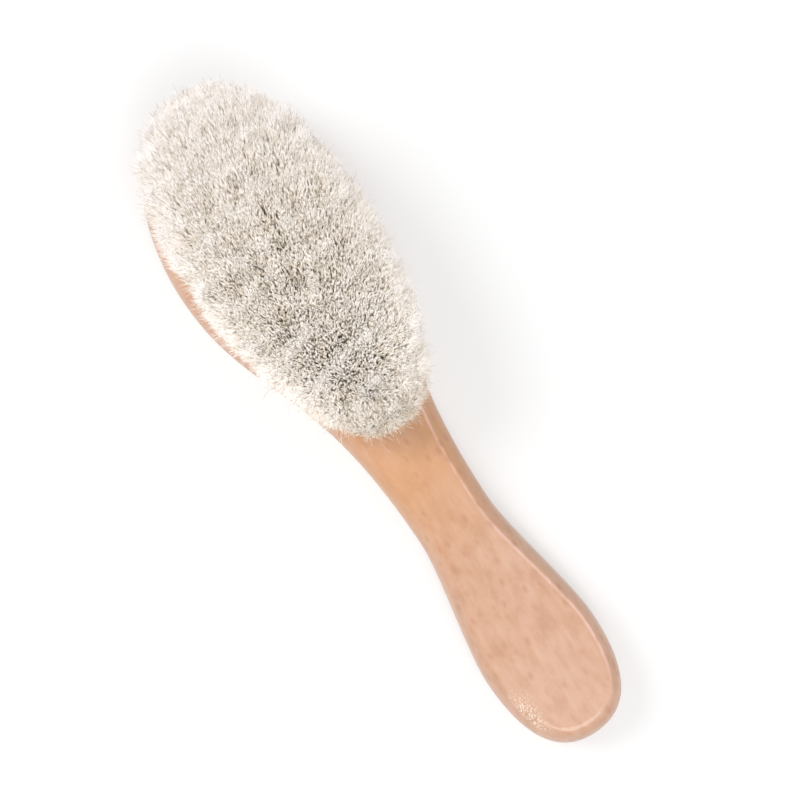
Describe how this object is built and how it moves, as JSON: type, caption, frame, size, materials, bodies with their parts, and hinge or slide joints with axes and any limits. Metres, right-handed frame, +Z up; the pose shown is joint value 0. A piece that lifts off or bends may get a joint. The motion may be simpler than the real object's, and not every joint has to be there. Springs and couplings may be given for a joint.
{
  "type": "wool buffing brush",
  "caption": "Hand brush for buffing and dusting: a one-piece beech body with a flat oval head of soft cream wool tufts and a rounded paddle handle.",
  "frame": {"origin": "on the surface that the brush lies on, under the middle of its box, with the flat back down", "axes": "+X along the brush from the handle to the tip of the head, +Z up out of the back towards the points of the wool, +Y across"},
  "size_m": [0.176, 0.0488, 0.0345],
  "materials": {
    "body": "satin lacquered beech, pinkish tan, with fine short darker flecks along the grain",
    "wool": "soft matt cream wool, paler at the points and greyer in the depth of the pile"
  },
  "bodies": {
    "root": {"brush_body": "body", "tuft_01": "wool", "tuft_02": "wool", "tuft_03": "wool", "tuft_04": "wool", "tuft_05": "wool", "tuft_06": "wool", "tuft_07": "wool", "tuft_08": "wool", "tuft_09": "wool", "tuft_10": "wool", "tuft_11": "wool", "tuft_12": "wool", "tuft_13": "wool", "tuft_14": "wool", "tuft_15": "wool", "tuft_16": "wool", "tuft_17": "wool", "tuft_18": "wool", "tuft_19": "wool", "tuft_20": "wool", "tuft_21": "wool", "tuft_22": "wool", "tuft_23": "wool", "tuft_24": "wool", "tuft_25": "wool", "tuft_26": "wool", "tuft_27": "wool", "tuft_28": "wool", "tuft_29": "wool", "tuft_30": "wool", "tuft_31": "wool", "tuft_32": "wool", "tuft_33": "wool", "tuft_34": "wool", "tuft_35": "wool", "tuft_36": "wool", "tuft_37": "wool", "tuft_38": "wool", "tuft_39": "wool", "tuft_40": "wool", "tuft_41": "wool", "tuft_42": "wool", "tuft_43": "wool", "tuft_44": "wool", "tuft_45": "wool", "tuft_46": "wool", "tuft_47": "wool", "tuft_48": "wool", "tuft_49": "wool", "tuft_50": "wool", "tuft_51": "wool", "tuft_52": "wool", "tuft_53": "wool", "tuft_54": "wool", "tuft_55": "wool", "tuft_56": "wool", "tuft_57": "wool"}
  },
  "joints": []
}
